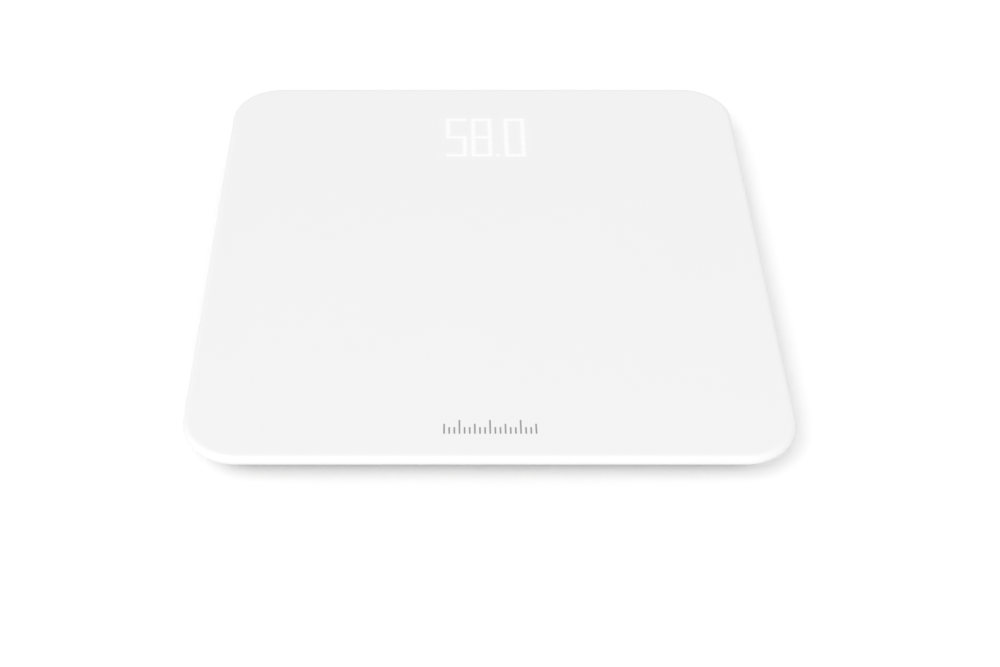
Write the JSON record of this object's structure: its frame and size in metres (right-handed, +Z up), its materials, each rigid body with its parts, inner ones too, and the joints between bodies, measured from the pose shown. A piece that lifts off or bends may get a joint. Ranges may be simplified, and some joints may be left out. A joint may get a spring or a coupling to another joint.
{
  "type": "digital bathroom scale",
  "caption": "Slim square bathroom scale with a rolled-edge white platform, a hidden dot display that shines through it, load cell feet and a battery bay underneath.",
  "frame": {"origin": "on the floor under the middle of the platform", "axes": "+X to the user's right, +Y from the user's side to the display side, +Z up"},
  "size_m": [0.3, 0.3, 0.022],
  "materials": {
    "platform_abs": "satin white moulding",
    "base_abs": "fine matte white moulding",
    "foot_abs": "matte off-white moulding",
    "holder_abs": "matte light grey moulding",
    "button_grey": "matte grey moulding",
    "pad_rubber": "matte dark grey rubber",
    "zinc_plate": "zinc-coated sheet",
    "cell_steel": "ground and nickel-coated sheet",
    "spring_steel": "bright wire",
    "screw_steel": "zinc plated",
    "nickel_plate": "nickel plated",
    "lead_jacket": "soft vinyl jacket",
    "cell_wire_jacket": "soft vinyl jacket",
    "flat_cable": "laminated film",
    "board_green": "solder mask",
    "board_parts": "ceramic and resin",
    "chip_black": "moulded resin",
    "header_ivory": "moulded nylon",
    "switch_grey": "moulded nylon",
    "led_white": "clear resin over yellow phosphor",
    "mask_white": "bright white moulding",
    "label_foil": "satin silver film",
    "battery_wrap": "printed film sleeve",
    "gauge_epoxy": "cured resin"
  },
  "bodies": {
    "housing": {"platform_cover": "platform_abs", "stiffener_plate": "zinc_plate", "base_housing": "base_abs", "housing_screws": "screw_steel", "battery_springs": "spring_steel", "contact_plates": "nickel_plate", "battery_leads": "lead_jacket", "main_board": "board_green", "controller_chip": "chip_black", "board_parts": "board_parts", "cell_headers": "header_ivory", "board_screws": "screw_steel", "unit_switch": "switch_grey", "display_board": "board_green", "display_leds": "led_white", "display_mask": "mask_white", "display_header": "header_ivory", "display_cable": "flat_cable", "display_screws": "screw_steel", "holder_screws": "screw_steel", "blank_label": "label_foil", "battery_1": "battery_wrap", "battery_2": "battery_wrap", "battery_3": "battery_wrap", "foot_cup_front_left": "foot_abs", "foot_cup_front_right": "foot_abs", "foot_cup_back_left": "foot_abs", "foot_cup_back_right": "foot_abs", "foot_pad_front_left": "pad_rubber", "foot_pad_front_right": "pad_rubber", "foot_pad_back_left": "pad_rubber", "foot_pad_back_right": "pad_rubber", "foot_screw_front_left": "screw_steel", "foot_screw_front_right": "screw_steel", "foot_screw_back_left": "screw_steel", "foot_screw_back_right": "screw_steel", "load_cell_front_left": "cell_steel", "load_cell_front_right": "cell_steel", "load_cell_back_left": "cell_steel", "load_cell_back_right": "cell_steel", "cell_holder_front_left": "holder_abs", "cell_holder_front_right": "holder_abs", "cell_holder_back_left": "holder_abs", "cell_holder_back_right": "holder_abs", "strain_gauge_front_left": "gauge_epoxy", "strain_gauge_front_right": "gauge_epoxy", "strain_gauge_back_left": "gauge_epoxy", "strain_gauge_back_right": "gauge_epoxy", "cell_wires_front_left": "cell_wire_jacket", "cell_wires_front_right": "cell_wire_jacket", "cell_wires_back_left": "cell_wire_jacket", "cell_wires_back_right": "cell_wire_jacket"},
    "battery_door": {"battery_door": "base_abs", "door_latch": "base_abs"},
    "unit_button": {"unit_button": "button_grey"},
    "switch_plunger": {"switch_plunger": "chip_black"}
  },
  "joints": [
    {"name": "battery_door_hinge", "type": "hinge", "parent": "housing", "child": "battery_door", "pos_m": [0, -0.04295, 0.003], "axis": [-1, 0, 0], "range_deg": [0, 60], "deforming": ["door_latch"]},
    {"name": "unit_button_press", "type": "slide", "parent": "housing", "child": "unit_button", "axis": [0, 0, 1], "range_m": [0, 0.0003], "stiffness_N_per_m": 5000},
    {"name": "switch_plunger_press", "type": "slide", "parent": "housing", "child": "switch_plunger", "axis": [0, 0, 1], "range_m": [0, 0.0003]}
  ],
  "couplings": [
    {"joint": "switch_plunger_press", "follows": "unit_button_press", "ratio": 1}
  ]
}
